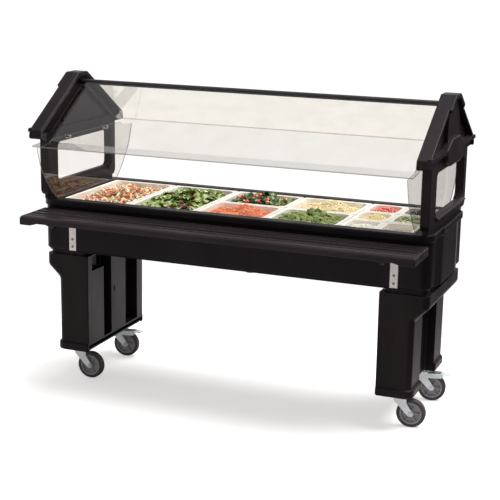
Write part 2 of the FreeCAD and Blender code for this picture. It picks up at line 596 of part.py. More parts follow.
def make_right_house():
    wall = half_mirrored([(-HOUSE_Y, FOOT_Z, 30), (-HOUSE_Y, EAVE_Z0 + 12)])
    panel = across(wall, HOUSE_IN, HOUSE_OUT)
    panel = soften(panel, 5.0, lambda e: (flat_at(e, "x", HOUSE_IN) or flat_at(e, "x", HOUSE_OUT))
                   and e.BoundBox.ZMin < EAVE_Z0)
    roof = half_mirrored([(-EAVE_Y, EAVE_Z0, 12), (-EAVE_Y + 8, EAVE_Z1, 8), (-APEX_Y, APEX_Z, 12)])
    hood = across(roof, ROOF_IN, ROOF_OUT)
    hood = soften(hood, 4.0, lambda e: flat_at(e, "x", ROOF_IN) or flat_at(e, "x", ROOF_OUT))
    hood = hood.cut(across(gable(16, EAVE_Z0 - 5, 8), ROOF_IN - 1, HOUSE_IN))
    hood = hood.cut(across(gable(14, EAVE_Z0 - 5, 8), HOUSE_OUT, ROOF_OUT + 1))
    step = 84.0
    foot = (-APEX_Y - step, APEX_Z - step * SLOPE)
    cap = across(half_mirrored([(foot[0] + 12, foot[1] - 14, 2), foot, (-APEX_Y, APEX_Z, 12)]),
                 ROOF_IN + 9, ROOF_OUT + 11)
    cap = soften(cap, 3.0, lambda e: flat_at(e, "x", ROOF_OUT + 11))
    cap = cap.cut(across(gable(18, foot[1] - 60, 4), ROOF_IN, ROOF_OUT + 12))
    plinth = upright(rectangle(HOUSE_IN + 7, HOUSE_OUT - 10, -HOUSE_Y + 16, HOUSE_Y - 16, 6.0),
                     DECK_Z, FOOT_Z + 4)
    house = fuse([panel, hood, cap, plinth])

    # inner gable: a deep slot for the shield panes, a rib under them and a raised triangle
    slot = across(gable(18, EAVE_Z0 + 22, 8), HOUSE_IN - 1, HOUSE_IN + 14)
    slot = slot.cut(across(gable(PANE_DROP, EAVE_Z0 + 14, 8), HOUSE_IN - 2, HOUSE_IN + 15))
    triangle = gable(PANE_DROP + 12, EAVE_Z0 + 30, 8)
    face = across(triangle, HOUSE_IN - 1, HOUSE_IN + 9)
    face = face.cut(across(gable(PANE_DROP + 34, EAVE_Z0 + 48, 12), HOUSE_IN - 2, HOUSE_IN + 10))
    house = house.cut(slot).cut(face)
    rib = across(gable(PANE_DROP, EAVE_Z0 + 24, 8), GUARD_X - 5, HOUSE_IN + 2)
    rib = rib.cut(across(gable(PANE_DROP + 8, EAVE_Z0 + 14, 6), GUARD_X - 6, HOUSE_IN + 3))

    # outer gable: recess behind the roof lip, sill ledges, a central pillar and its shield
    house = house.cut(across(gable(17, EAVE_Z1 + 12, 8), HOUSE_OUT - 12, HOUSE_OUT + 1))
    sill = across(half_mirrored([(-EAVE_Y + 5, EAVE_Z1 - 8, 3), (-EAVE_Y + 11, EAVE_Z1 + 8, 3)]),
                  HOUSE_OUT - 5, ROOF_OUT + 6)
    pillar = across(half_mirrored([(-97, EAVE_Z1 - 4, 0), (-97, EAVE_Z1 + 128, 20), (-40, APEX_Z - 24, 8)]),
                    HOUSE_OUT - 14, PILLAR_X)
    shield = across(half_mirrored([(-95, EAVE_Z0 - 24, 30), (-150, EAVE_Z0 + 3, 30), (-150, EAVE_Z1 + 8, 20),
                                   (-60, EAVE_Z1 + 50, 20)]), HOUSE_OUT - 6, ROOF_OUT + 11)
    shield = soften(shield, 6.0, lambda e: flat_at(e, "x", ROOF_OUT + 11))
    ledge_x, ledge_z = HOUSE_OUT + 13, WINDOW_Z0 - 8
    ledge = along_y([(HOUSE_OUT - 6, ledge_z - 16), (ledge_x - 8, ledge_z - 11, 2), (ledge_x, ledge_z - 5, 2),
                     (ledge_x, ledge_z - 1, 2), (HOUSE_OUT - 6, WINDOW_Z0)], WINDOW_Y0 + 6, WINDOW_Y1 - 4)
    tenons = [box(TENON_X[0], TENON_X[1], sy * (mid - 18), sy * (mid + 18), TENON_Z0 + 1, FOOT_Z + 12)
              for mid in TENON_Y for sy in (-1, 1)]
    house = fuse([house, rib, sill, pillar, shield, ledge] + tenons)
    chamfer = along_y([(HOUSE_IN - 2, WINDOW_Z0 - 24), (HOUSE_IN + 20, WINDOW_Z0 + 1),
                       (HOUSE_IN - 2, WINDOW_Z0 + 1)], WINDOW_Y0 + 20, WINDOW_Y1 - 20)

    # the window, with a shallow frame line on the inner face and a sill that falls inwards
    opening = rectangle(WINDOW_Y0, WINDOW_Y1, WINDOW_Z0, WINDOW_Z1, 26.0)
    cuts = [chamfer, across(opening, HOUSE_IN - 5, HOUSE_OUT + 14),
            across(rectangle(WINDOW_Y0 - 7, WINDOW_Y1 + 7, WINDOW_Z0 - 9, WINDOW_Z1 + 9, 32.0),
                   HOUSE_IN - 1, HOUSE_IN + 3)]
    cuts += [rod((TENON_X[1] - 14, sy * mid, TENON_Z0 + 16), (TENON_X[1] + 1, sy * mid, TENON_Z0 + 16), 4.0)
             for mid in TENON_Y for sy in (-1, 1)]
    cuts += [rod((HOUSE_IN - 1, y, z), (HOUSE_IN + 18, y, z), 3.0) for y, z in SHIELD_SCREWS]
    cuts.append(rod((HOUSE_IN, 0, BAR_BOLT_Z), (ROOF_OUT + 5, 0, BAR_BOLT_Z), 4.0))
    for cut in cuts:
        house = house.cut(cut)
    return house


def make_houses():
    right = make_right_house()
    save("right_house_panel", right)
    save("left_house_panel", mirrored(right))
    bolts = []
    for side in (-1, 1):
        for mid in TENON_Y:
            for sy in (-1, 1):
                z = TENON_Z0 + 16
                seat = BLOCK_X - BUTTON
                shank = rod((side * (TENON_X[1] - 13), sy * mid, z), (side * seat, sy * mid, z), 4.0)
                head = rod((side * seat, sy * mid, z), (side * (seat + 3.2), sy * mid, z), 8.0)
                bolts.append(shank.fuse(head))
        web = PILLAR_X
        shank = rod((side * (HOUSE_IN - 5), 0, BAR_BOLT_Z), (side * web, 0, BAR_BOLT_Z), 4.0)
        head = rod((side * web, 0, BAR_BOLT_Z), (side * (web + 3.2), 0, BAR_BOLT_Z), 8.0)
        bolts.append(shank.fuse(head))
    save("end_panel_bolts", Part.makeCompound(bolts))


# ---- food shield: ridge bar, two panes and the end shields ----
def pane_point(y):
    """Top face of the sloping panes at a distance y from the ridge."""
    return GUARD_TOP_Z - (abs(y) + GUARD_TOP_Y) * SLOPE


def pane_solid(path):
    """Sheet of even thickness under a path of (y, z) points along its top face."""
    lower = []
    for k, (y, z) in enumerate(path):
        before, after = path[max(k - 1, 0)], path[min(k + 1, len(path) - 1)]
        turns = []
        for a, b in ((before, (y, z)), ((y, z), after)):
            length = math.hypot(b[0] - a[0], b[1] - a[1])
            if length > 0:
                turns.append(((b[1] - a[1]) / length, -(b[0] - a[0]) / length))
        ny, nz = sum(t[0] for t in turns), sum(t[1] for t in turns)
        size = math.hypot(ny, nz)
        ny, nz = ny / size, nz / size
        bend = ny * turns[0][0] + nz * turns[0][1]
        down = -1 if nz > 0 else 1
        lower.append((y + down * ny * SHEET / bend, z + down * nz * SHEET / bend))
    radii = [0] + [30] * (len(path) - 2) + [0]
    corners = [(y, z, r) for (y, z), r in zip(path, radii)]
    corners += [(y, z, max(r - SHEET, 0)) for (y, z), r in reversed(list(zip(lower, radii)))]
    return across(corners, -GUARD_X, GUARD_X)


def make_food_shield():
    front = pane_solid([(GUARD_TOP_Y, GUARD_TOP_Z), (BEND_Y, BEND_Z), (LIP_Y, LIP_Z)])
    rear = pane_solid([(-GUARD_TOP_Y, GUARD_TOP_Z), (REAR_EDGE_Y, pane_point(REAR_EDGE_Y))])
    bar = across([(-13, GUARD_TOP_Z - 13, 2), (-13, GUARD_TOP_Z + 4, 3), (-7, GUARD_TOP_Z + 9, 3),
                  (7, GUARD_TOP_Z + 9, 3), (13, GUARD_TOP_Z + 4, 3), (13, GUARD_TOP_Z - 13, 2)],
                 -HOUSE_IN - 13.9, HOUSE_IN + 13.9)
    bar = bar.cut(front).cut(rear)
    bar = max(bar.Solids, key=lambda s: s.Volume)
    for side in (-1, 1):
        start, end = (side * (HOUSE_IN - 5), 0, BAR_BOLT_Z), (side * (HOUSE_IN + 15), 0, BAR_BOLT_Z)
        bar = bar.cut(rod(start, end, 4.0))
    save("ridge_bar", bar)
    save("front_guard", front)
    save("rear_guard", rear)

    half = [(290, DECK_Z + 1, 26), (338, 922, 160), (420, 1022, 300), (SHIELD_Y, 1128, 1), (352, 1137, 4),
            (318, 1152, 8)]
    corners = half + [(-y, z, r) for y, z, r in reversed(half)]
    shield = across(corners, SHIELD_X - SHIELD_T / 2, SHIELD_X + SHIELD_T / 2)
    spacers, screws = [], []
    for side in (-1, 1):
        for y, z in SHIELD_SCREWS:
            start, end = (side * (SHIELD_X + SHIELD_T / 2), y, z), (side * (HOUSE_IN + 0.0), y, z)
            spacers.append(ring(start, end, 8.0, 3.2))
            shank = rod((side * (SHIELD_X - SHIELD_T / 2), y, z), (side * (HOUSE_IN + 18), y, z), 3.0)
            seat = side * (SHIELD_X - SHIELD_T / 2)
            crown = side * (SHIELD_X - SHIELD_T / 2 - 4.5)
            head = soften(rod((crown, y, z), (seat, y, z), 7.0), 2.5, lambda e: flat_at(e, "x", crown))
            screws.append(shank.fuse(head))
    for y, z in SHIELD_SCREWS:
        shield = shield.cut(rod((SHIELD_X - 10, y, z), (SHIELD_X + 10, y, z), 3.2))
    save("right_end_shield", shield)
    save("left_end_shield", mirrored(shield))
    save("end_shield_spacers", Part.makeCompound(spacers))
    save("end_shield_screws", Part.makeCompound(screws))


# ---- fold-down tray rail ----
RIDGE = 6.0                          # height of the tray ridges


def make_rail():
    body = across([(RAIL_Y0, RAIL_Z0, 5), (RAIL_Y0, RAIL_Z1 - 6, 12), (RAIL_Y0 + 16, RAIL_Z1, 8),
                   (RAIL_Y1, RAIL_Z1, 4), (RAIL_Y1, RAIL_Z0, 3)], -RAIL_X, RAIL_X)
    body = soften(body, 8.0, lambda e: (flat_at(e, "x", -RAIL_X) or flat_at(e, "x", RAIL_X))
                  and e.BoundBox.ZMax > RAIL_Z1 - 20 and e.BoundBox.YMax < RAIL_Y1 - 5)
    room = across([(RAIL_Y0 + 6, RAIL_Z0 - 1), (RAIL_Y0 + 6, RAIL_Z1 - 18), (RAIL_Y0 + 14, RAIL_Z1 - 13),
                   (RAIL_Y1 - 6, RAIL_Z1 - 13), (RAIL_Y1 - 6, RAIL_Z0 - 1)], -RAIL_X + 6, RAIL_X - 6)
    ribs = [box(k * 180 - 2.5, k * 180 + 2.5, RAIL_Y0 + 3, RAIL_Y1 - 3, APRON_Z + 2, RAIL_Z1 - 12)
            for k in range(-4, 5)]
    pads = [box(s * (BRACKET_X - 24), s * (BRACKET_X + 24), RAIL_Y0 + 30, RAIL_Y1 - 3, RAIL_Z0, RAIL_Z1 - 12)
            for s in (-1, 1)]
    # between its two ends the front hangs less deep
    raised = along_y([(-RAIL_X + 48, RAIL_Z0 - 1), (-RAIL_X + 90, APRON_Z, 6), (RAIL_X - 90, APRON_Z, 6),
                      (RAIL_X - 48, RAIL_Z0 - 1)], RAIL_Y0 - 1, RAIL_Y0 + 29)
    rail = fuse([body.cut(room)] + ribs + pads).cut(raised)
    # four hollows leave three ridges for the trays to slide on
    for near, far in ((42, 56), (68, 104), (116, 152), (164, 202)):
        y0, y1 = RAIL_Y0 + near, RAIL_Y0 + far
        hollow = across([(y0, RAIL_Z1 + 1), (y0 + 4, RAIL_Z1 - RIDGE, 1), (y1 - 4, RAIL_Z1 - RIDGE, 1),
                         (y1, RAIL_Z1 + 1)], -RAIL_X + 14, RAIL_X - 14)
        rail = rail.cut(hollow)
    save("tray_rail", rail)

    plates, arms, pins, screws = [], [], [], []
    half = BRACKET_W / 2
    face = -BODY_Y
    for side in (-1, 1):
        x = side * BRACKET_X
        plate = box(x - half, x + half, face - 3, face, 641, 776)
        knuckles = [ring((x + a, HINGE_Y, HINGE_Z), (x + b, HINGE_Y, HINGE_Z), 7.0, 4.0)
                    for a, b in ((-half, -half + 9), (half - 9, half))]
        links = [box(x + a, x + b, HINGE_Y, face, HINGE_Z - 7, HINGE_Z - 2)
                 for a, b in ((-half, -half + 9), (half - 9, half))]
        bore = rod((x - half, HINGE_Y, HINGE_Z), (x + half, HINGE_Y, HINGE_Z), 4.0)
        wall_plate = fuse([plate] + knuckles + links).cut(bore)
        arm = box(x - 7.5, x + 7.5, RAIL_Y0 + 40, HINGE_Y - 4, RAIL_Z0 - 12, RAIL_Z0)
        eye = rod((x - 7.5, HINGE_Y, HINGE_Z), (x + 7.5, HINGE_Y, HINGE_Z), 7.0)
        arm = fuse([arm, eye, box(x - 7.5, x + 7.5, HINGE_Y - 8, HINGE_Y, HINGE_Z, RAIL_Z0 - 1)])
        arm = arm.cut(rod((x - 8, HINGE_Y, HINGE_Z), (x + 8, HINGE_Y, HINGE_Z), 4.0 + RUNNING))
        pins.append(fuse([rod((x - half - 2, HINGE_Y, HINGE_Z), (x + half + 2, HINGE_Y, HINGE_Z), 4.0),
                          rod((x - half - 2, HINGE_Y, HINGE_Z), (x - half, HINGE_Y, HINGE_Z), 6.0)]))
        for z in PLATE_SCREW_Z:
            shank = rod((x, face + 6, z), (x, face - 3, z), 2.5)
            screws.append(shank.fuse(rod((x, face - 3, z), (x, face - 5.4, z), 5.0)))
            wall_plate = wall_plate.cut(rod((x, face + 1, z), (x, face - 4, z), 2.5))
        plates.append(wall_plate)
        arms.append(arm)
    save("rail_wall_plates", Part.makeCompound(plates))
    save("rail_arms", Part.makeCompound(arms))
    save("rail_hinge_pins", Part.makeCompound(pins))
    save("rail_plate_screws", Part.makeCompound(screws))


make_tub()
make_drain()
make_pans()
make_legs()
make_casters()
make_houses()
make_food_shield()
make_rail()
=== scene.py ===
import math
import random

import bpy
from mathutils import Euler, Matrix, Vector


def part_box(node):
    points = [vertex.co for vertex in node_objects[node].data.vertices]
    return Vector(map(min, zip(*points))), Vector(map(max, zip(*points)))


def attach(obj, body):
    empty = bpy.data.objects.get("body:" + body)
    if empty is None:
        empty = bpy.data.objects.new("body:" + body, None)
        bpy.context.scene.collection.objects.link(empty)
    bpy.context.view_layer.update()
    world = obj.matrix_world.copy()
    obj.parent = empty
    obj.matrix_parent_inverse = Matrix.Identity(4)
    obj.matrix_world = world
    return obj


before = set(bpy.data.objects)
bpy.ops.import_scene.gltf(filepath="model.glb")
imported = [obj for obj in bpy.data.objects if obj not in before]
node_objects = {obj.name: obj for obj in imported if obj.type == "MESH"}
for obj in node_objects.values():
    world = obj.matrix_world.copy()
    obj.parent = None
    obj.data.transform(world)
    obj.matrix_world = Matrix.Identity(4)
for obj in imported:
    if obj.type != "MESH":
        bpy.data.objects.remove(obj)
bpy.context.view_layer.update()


# ---------------------------------------------------------------------------------------------
# The tub, with its rim, its well for ice and pans, and a raised block at each end. It is black
# polyethylene powder melted inside a turning mould, so its skin is satin, pebbled and never flat.
# ---------------------------------------------------------------------------------------------
def linear(code):
    """The linear colour of an sRGB hex code such as "#231c1c"."""
    values = [int(code[k : k + 2], 16) / 255 for k in (1, 3, 5)]
    spread = [v / 12.92 if v <= 0.04045 else ((v + 0.055) / 1.055) ** 2.4 for v in values]
    return (*spread, 1.0)


def add(tree, kind, sockets=None, **settings):
    """Adds one shader node. sockets gives its inputs by name or place: a value, or an output to link."""
    made = tree.nodes.new("ShaderNode" + kind)
    for name, value in settings.items():
        setattr(made, name, value)
    for name, value in (sockets or {}).items():
        if isinstance(value, bpy.types.NodeSocket):
            tree.links.new(value, made.inputs[name])
        else:
            made.inputs[name].default_value = value
    return made


def new_finish(name):
    """An empty node material and its tree."""
    material = bpy.data.materials.new(name)
    material.use_nodes = True
    material.node_tree.nodes.clear()
    return material, material.node_tree


def two_tone(tree, factor, low, high, start=0.3, end=0.72):
    """A ramp between two hex colours, driven by a factor output."""
    ramp = add(tree, "ValToRGB", {"Fac": factor})
    ramp.color_ramp.elements[0].position = start
    ramp.color_ramp.elements[0].color = linear(low)
    ramp.color_ramp.elements[1].position = end
    ramp.color_ramp.elements[1].color = linear(high)
    return ramp.outputs[0]


def coat(names, material):
    """Puts one material in every slot of these nodes' objects."""
    for name in names:
        node_objects[name].data.materials.clear()
        node_objects[name].data.materials.append(material)


def moulded_polyethylene(name, low, high, satin, streak):
    """low and high are its two tones, satin its mean roughness, streak the stretch of its drift in XYZ."""
    pebble = 1 / 0.0035           # a 3.5 mm pebble; the real 1 mm one is too fine to show
    wander = 1 / 0.11             # hand-sized waves of a cooled skin
    bloom = 1 / 0.16              # slow drift of tone
    material, tree = new_finish(name)
    place = add(tree, "TexCoord").outputs["Object"]
    drawn = add(tree, "Mapping", {"Vector": place, "Scale": streak}).outputs[0]
    drift = add(tree, "TexNoise", {"Vector": drawn, "Scale": bloom, "Detail": 4.0, "Roughness": 0.6})
    fine = add(tree, "TexNoise", {"Vector": place, "Scale": pebble, "Detail": 3.0, "Roughness": 0.55})
    waves = add(tree, "TexNoise", {"Vector": place, "Scale": wander, "Detail": 1.0})
    # Corners are rubbed paler: the softened normal leaves the true one only there.
    soft = add(tree, "Bevel", {"Radius": 0.005}, samples=4)
    true = add(tree, "NewGeometry")
    meet = add(tree, "VectorMath", {0: soft.outputs[0], 1: true.outputs["Normal"]}, operation="DOT_PRODUCT")
    rub = add(tree, "MapRange", {"Value": meet.outputs["Value"], 1: 0.995, 2: 0.82, 3: 0.0, 4: 0.9})
    patchy = add(tree, "Math", {0: rub.outputs[0], 1: fine.outputs["Fac"]}, operation="MULTIPLY")
    tone = two_tone(tree, drift.outputs["Fac"], low, high)
    worn = add(tree, "Mix", {0: patchy.outputs[0], 6: tone, 7: linear("#574d52")}, data_type="RGBA")
    rough = add(tree, "MapRange", {"Value": drift.outputs["Fac"], 1: 0.3, 2: 0.7,
                                   3: satin + 0.08, 4: satin - 0.06})
    relief = add(tree, "Bump", {"Height": fine.outputs["Fac"], "Strength": 0.2, "Distance": 0.0005})
    swell = add(tree, "Bump", {"Height": waves.outputs["Fac"], "Normal": relief.outputs[0],
                               "Strength": 0.3, "Distance": 0.004})
    skin = add(tree, "BsdfPrincipled", {"Base Color": worn.outputs[2], "Roughness": rough.outputs[0],
                                        "Normal": swell.outputs[0], "Specular IOR Level": 0.13})
    add(tree, "OutputMaterial", {"Surface": skin.outputs[0]})
    return material


# The tub's end walls show brown upright streaks, where the powder flowed down the mould.
tub_skin = moulded_polyethylene("rotomoulded_polyethylene_black", "#0e0b0c", "#1a1415", 0.38,
                                (1.0, 1.0, 0.25))
coat(["body_shell"], tub_skin)


# ---------------------------------------------------------------------------------------------
# Inside the tub's double wall: one filling of rigid polyurethane foam, pale yellow with fine
# cells, and the two black push-in plugs that close its filling ports.
# ---------------------------------------------------------------------------------------------
def worked_surface(name, low, high, grain, rough, relief, metallic=0.0, drawn=(1.0, 1.0, 1.0),
                   coat_weight=0.0):
    """Even material with a grain of that size in metres, stretched by drawn, and that depth of relief."""
    material, tree = new_finish(name)
    place = add(tree, "TexCoord").outputs["Object"]
    laid = add(tree, "Mapping", {"Vector": place, "Scale": drawn}).outputs[0]
    fine = add(tree, "TexNoise", {"Vector": laid, "Scale": 1 / grain, "Detail": 3.0, "Roughness": 0.6})
    broad = add(tree, "TexNoise", {"Vector": place, "Scale": 0.12 / grain, "Detail": 2.0})
    blend = add(tree, "Mix", {0: 0.45, 2: fine.outputs["Fac"], 3: broad.outputs["Fac"]})
    tone = two_tone(tree, blend.outputs[0], low, high)
    dull = add(tree, "MapRange", {"Value": broad.outputs["Fac"], 1: 0.3, 2: 0.7,
                                  3: rough - 0.05, 4: rough + 0.09})
    bump = add(tree, "Bump", {"Height": fine.outputs["Fac"], "Strength": 0.35, "Distance": relief})
    skin = add(tree, "BsdfPrincipled", {"Base Color": tone, "Roughness": dull.outputs[0],
                                        "Metallic": metallic, "Normal": bump.outputs[0],
                                        "Coat Weight": coat_weight})
    add(tree, "OutputMaterial", {"Surface": skin.outputs[0]})
    return material


coat(["foam_core"], worked_surface("polyurethane_foam_rigid", "#d9c998", "#efe3bd", 0.0015, 0.85, 0.0006))
coat(["foam_port_plugs"],
     worked_surface("polyethylene_plug_black", "#151213", "#221c1d", 0.004, 0.45, 0.0003))

# ---------------------------------------------------------------------------------------------
# The divider bars that carry the pans' flanges: cut from stainless strip whose brushed grain
# runs across the tub, which gives a soft streak along each bar.
# ---------------------------------------------------------------------------------------------
strip_steel = worked_surface("stainless_strip_brushed", "#a5a7a8", "#d6d7d6", 0.0012, 0.3, 0.00008, 1.0,
                             (1.0, 0.05, 1.0))
coat(["pan_divider_bars"], strip_steel)

# ---------------------------------------------------------------------------------------------
# The drain: a turned brass fitting and lock nut, a cast brass valve with its ball, and a steel
# lever dipped in red vinyl, which is smooth and slightly waxy.
# ---------------------------------------------------------------------------------------------
turned_brass = worked_surface("brass_turned", "#a9843f", "#d9b566", 0.0025, 0.28, 0.00005, 1.0,
                              (1.0, 1.0, 6.0))
coat(["drain_fitting", "drain_locknut", "drain_valve_ball"], turned_brass)
coat(["drain_valve_body"], worked_surface("brass_cast", "#8f6d33", "#c29a52", 0.0016, 0.42, 0.0003, 1.0))
coat(["drain_valve_lever"], worked_surface("vinyl_dipped_red", "#7c120d", "#a81e15", 0.006, 0.34, 0.0001))

# ---------------------------------------------------------------------------------------------
# The food pans: moulded white plastic with a glossy skin, a little cream in tone, with fine
# scuffs from serving spoons and stacking.
# ---------------------------------------------------------------------------------------------
pans = [name for name in node_objects if "_pan_" in name]
white_ware = worked_surface("pan_plastic_white", "#efeae0", "#faf7f1", 0.012, 0.22, 0.00008, 0.0,
                            (1.0, 1.0, 1.0), 0.3)
coat(pans, white_ware)


# ---------------------------------------------------------------------------------------------
# The food, one heap to a pan. Each heap is a low mound with many separate cut pieces on it;
# every piece carries its own tone, which its material reads, as no two real ones match.
# ---------------------------------------------------------------------------------------------
def grid_mesh(columns, rows, point):
    """Vertices and faces of a sheet; point(u, v) places it for u and v from 0 to 1."""
    verts = [point(i / columns, j / rows) for j in range(rows + 1) for i in range(columns + 1)]
    wide = columns + 1
    faces = [(j * wide + i, j * wide + i + 1, (j + 1) * wide + i + 1, (j + 1) * wide + i)
             for j in range(rows) for i in range(columns)]
    return verts, faces


def lump(rng, size, squash, bumps, around=8, rings=5):
    """Closed knobbly lump, squash times as high as it is wide."""
    phase = [rng.uniform(0, 6.28) for _ in range(3)]

    def point(u, v):
        turn, tilt = 2 * math.pi * u, math.pi * (v - 0.5) * 0.98
        swell = 1 + bumps * math.sin(3 * turn + phase[0]) * math.cos(4 * tilt + phase[1])
        r = size / 2 * swell
        return Vector((r * math.cos(tilt) * math.cos(turn), r * math.cos(tilt) * math.sin(turn),
                       r * squash * math.sin(tilt)))

    return grid_mesh(around, rings, point)


def shred(rng, length, width, thick):
    """Curved grated strip, four-sided, thin at both ends."""
    bend, lift = rng.uniform(-0.5, 0.5), rng.uniform(0.1, 0.35)

    def point(u, v):
        along = (v - 0.5) * length
        taper = math.sin(math.pi * min(max(v, 0.06), 0.94)) ** 0.4
        turn = 2 * math.pi * u + math.pi / 4
        return Vector((along, bend * length * (v - 0.5) ** 2 * 2 + width / 2 * taper * math.cos(turn),
                       -lift * length * (v - 0.5) ** 2 * 2 + thick / 2 * taper * math.sin(turn)))

    return grid_mesh(4, 6, point)


def spiral_pasta(rng, length, width):
    """Twisted ribbon with three ridges."""
    twist = rng.uniform(5.5, 7.5)

    def point(u, v):
        turn = 2 * math.pi * u
        r = width / 2 * (0.55 + 0.45 * math.cos(3 * turn) ** 2)
        return Vector(((v - 0.5) * length, r * math.cos(turn + twist * v), r * math.sin(turn + twist * v)))

    return grid_mesh(12, 10, point)


def leaf(rng, length, width, ruffle):
    """Curling leaf with a ruffled edge and a folded middle."""
    phase, curl = rng.uniform(0, 6.28), rng.uniform(0.15, 0.5)

    def point(u, v):
        side = 2 * u - 1
        half = width / 2 * math.sin(math.pi * min(v * 0.92 + 0.05, 0.97)) ** 0.6
        edge = ruffle * length * side * side * math.sin(9 * v + 2.5 * side + phase)
        fold = 0.25 * half * abs(side)
        return Vector(((v - 0.5) * length, side * half, edge + fold - curl * length * (v - 0.5) ** 2))

    return grid_mesh(6, 8, point)


def floret(rng, size):
    """Broccoli: a short stem under a crown of small buds."""
    def stem(u, v):
        r = size * (0.12 + 0.1 * v)
        return Vector((r * math.cos(2 * math.pi * u), r * math.sin(2 * math.pi * u), size * (0.55 * v - 0.6)))

    verts, faces = grid_mesh(6, 2, stem)
    for k in range(13):
        spread = math.sqrt(k / 12)
        turn = 2.4 * k + rng.uniform(-0.2, 0.2)
        bud, bud_faces = lump(rng, size * rng.uniform(0.3, 0.4), 0.9, 0.16, 6, 4)
        base = len(verts)
        dome = 0.5 - 0.45 * spread ** 2
        centre = Vector((spread * math.cos(turn), spread * math.sin(turn), dome)) * size * 0.42
        verts += [v + centre for v in bud]
        faces += [tuple(base + n for n in f) for f in bud_faces]
    return verts, faces


def slice_ring(rng, size, hole, thick):
    """Cut ring or, with a small hole, a slice, with rounded rims."""
    def point(u, v):
        turn, lap = 2 * math.pi * u, 2 * math.pi * v
        middle, reach = size / 4 * (1 + hole), size / 4 * (1 - hole)
        r = middle + reach * max(-1.0, min(1.0, 1.3 * math.cos(lap)))
        height = thick / 2 * max(-1.0, min(1.0, 1.3 * math.sin(lap)))
        return Vector((r * math.cos(turn), r * math.sin(turn), height))

    return grid_mesh(16, 8, point)


def foodstuff(name, low, high, grain, rough, relief, wet=0.3, glow=0.0):
    """Food whose pieces differ in tone from low to high; wet is its sheen, glow how far light soaks in."""
    material, tree = new_finish(name)
    place = add(tree, "TexCoord").outputs["Object"]
    own = add(tree, "Attribute", attribute_name="tone")
    fine = add(tree, "TexNoise", {"Vector": place, "Scale": 1 / grain, "Detail": 3.0, "Roughness": 0.6})
    mixed = add(tree, "Mix", {0: 0.4, 2: own.outputs["Fac"], 3: fine.outputs["Fac"]})
    tone = two_tone(tree, mixed.outputs[0], low, high, 0.15, 0.85)
    dull = add(tree, "MapRange", {"Value": fine.outputs["Fac"], 1: 0.3, 2: 0.7,
                                  3: rough - 0.08, 4: rough + 0.12})
    bump = add(tree, "Bump", {"Height": fine.outputs["Fac"], "Strength": 0.5, "Distance": relief})
    flesh = add(tree, "BsdfPrincipled", {"Base Color": tone, "Roughness": dull.outputs[0], "Coat Weight": wet,
                                         "Normal": bump.outputs[0], "Subsurface Weight": glow,
                                         "Subsurface Scale": 0.004})
    add(tree, "OutputMaterial", {"Surface": flesh.outputs[0]})
    return material


def heap(pan, name, bed, kinds, level, rise, pitch, layers=2):
    """Fills a pan. bed is the mound's material.

    kinds is a list of (maker, material, share, height of its middle).
    level and rise are how far the mound's edge and middle stand above the flange, pitch is the mean
    distance between pieces, all in metres.
    """
    rng = random.Random(pan + name)
    low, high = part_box(pan)
    centre = (low + high) / 2
    rim = 0.0245                  # flange and wall, plus room to lift the pan clear of its food
    half_x, half_y = (high.x - low.x) / 2 - rim, (high.y - low.y) / 2 - rim
    flange = high.z - 0.0016

    def surface(x, y):
        u, v = min(abs(x) / half_x, 1.0), min(abs(y) / half_y, 1.0)
        swell = 0.25 * math.sin(x * 41 + y * 23) + 0.2 * math.sin(y * 57 - x * 17)
        return flange + level + rise * (1 - u ** 2) * (1 - v ** 2) * (1 + swell)

    def mound(u, v):
        x, y = (2 * u - 1) * half_x, (2 * v - 1) * half_y
        return Vector((x, y, surface(x, y) - 0.006))

    verts, faces = grid_mesh(30, 30, mound)
    tones, which = [0.5] * len(verts), [0] * len(faces)
    total = sum(kind[2] for kind in kinds)
    across, deep = int(2 * half_x / pitch), int(2 * half_y / pitch)
    for layer in range(layers):
        for i in range(across):
            for j in range(deep):
                pick, chosen = rng.uniform(0, total), 0
                while pick > kinds[chosen][2] and chosen < len(kinds) - 1:
                    pick -= kinds[chosen][2]
                    chosen += 1
                made, made_faces = kinds[chosen][0](rng)
                x = ((i + rng.random()) / across * 2 - 1) * half_x
                y = ((j + rng.random()) / deep * 2 - 1) * half_y
                turn = Euler((rng.gauss(0, 0.35), rng.gauss(0, 0.35), rng.uniform(0, 6.28))).to_matrix()
                made = [turn @ v for v in made]
                reach_x, reach_y = max(abs(v.x) for v in made), max(abs(v.y) for v in made)
                x = max(-half_x + reach_x, min(half_x - reach_x, x))
                y = max(-half_y + reach_y, min(half_y - reach_y, y))
                spot = Vector((x, y, surface(x, y) + kinds[chosen][3] + layer * 0.25 * pitch))
                base, tone = len(verts), rng.random()
                verts += [v + spot for v in made]
                tones += [tone] * len(made)
                faces += [tuple(base + n for n in f) for f in made_faces]
                which += [chosen + 1] * len(made_faces)
    mesh = bpy.data.meshes.new(name)
    mesh.from_pydata([tuple(v) for v in verts], [], faces)
    mesh.attributes.new("tone", "FLOAT", "POINT").data.foreach_set("value", tones)
    for material in [bed] + [kind[1] for kind in kinds]:
        mesh.materials.append(material)
    mesh.polygons.foreach_set("material_index", which)
    mesh.polygons.foreach_set("use_smooth", [True] * len(faces))
    piece = bpy.data.objects.new(name, mesh)
    piece.location = (centre.x, centre.y, 0.0)
    bpy.context.scene.collection.objects.link(piece)
    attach(piece, pan + "_body")


